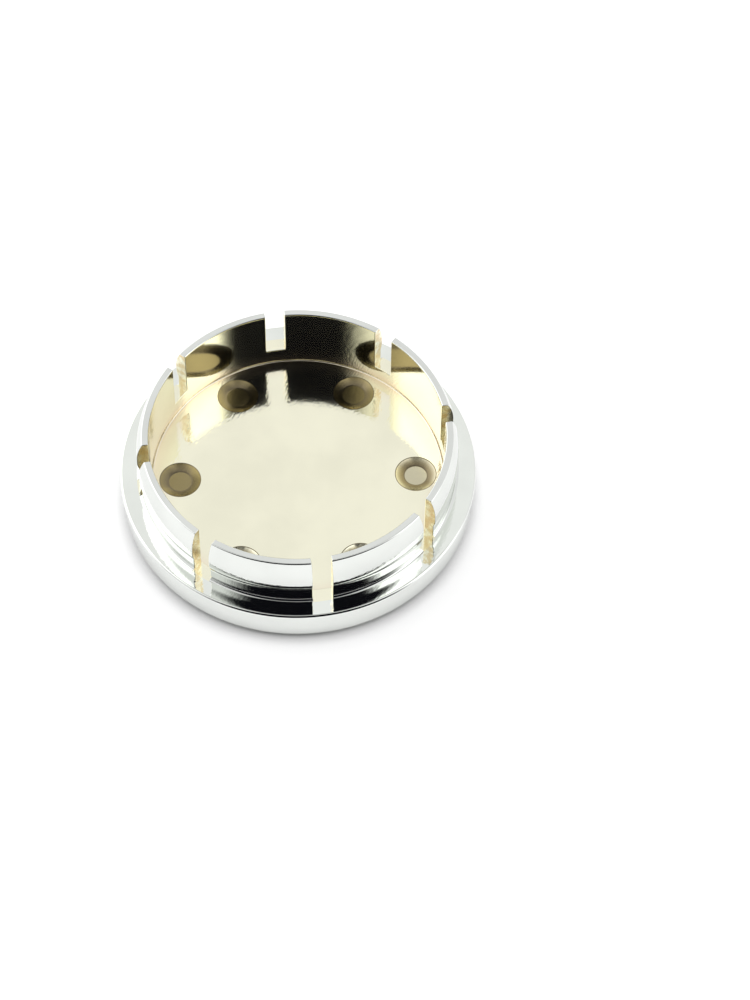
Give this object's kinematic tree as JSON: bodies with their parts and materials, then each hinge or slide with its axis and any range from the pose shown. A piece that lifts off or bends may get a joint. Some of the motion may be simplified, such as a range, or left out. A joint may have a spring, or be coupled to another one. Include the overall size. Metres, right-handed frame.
{
  "type": "wheel centre cap",
  "caption": "Round snap-in wheel centre cap: one chrome-plated moulding with a flat sunk face, a rounded rim and a slotted ring of clip fingers.",
  "frame": {"origin": "centre of the front lip's plane, on the cap's axis: the cap lies face down on this plane", "axes": "+Z along the cap's axis, from the front face towards the clip fingers; +X and +Y across the face"},
  "size_m": [0.065, 0.065, 0.0181],
  "materials": {
    "chrome_plating": "polished"
  },
  "bodies": {
    "root": {"centre_cap": "chrome_plating"}
  },
  "joints": []
}
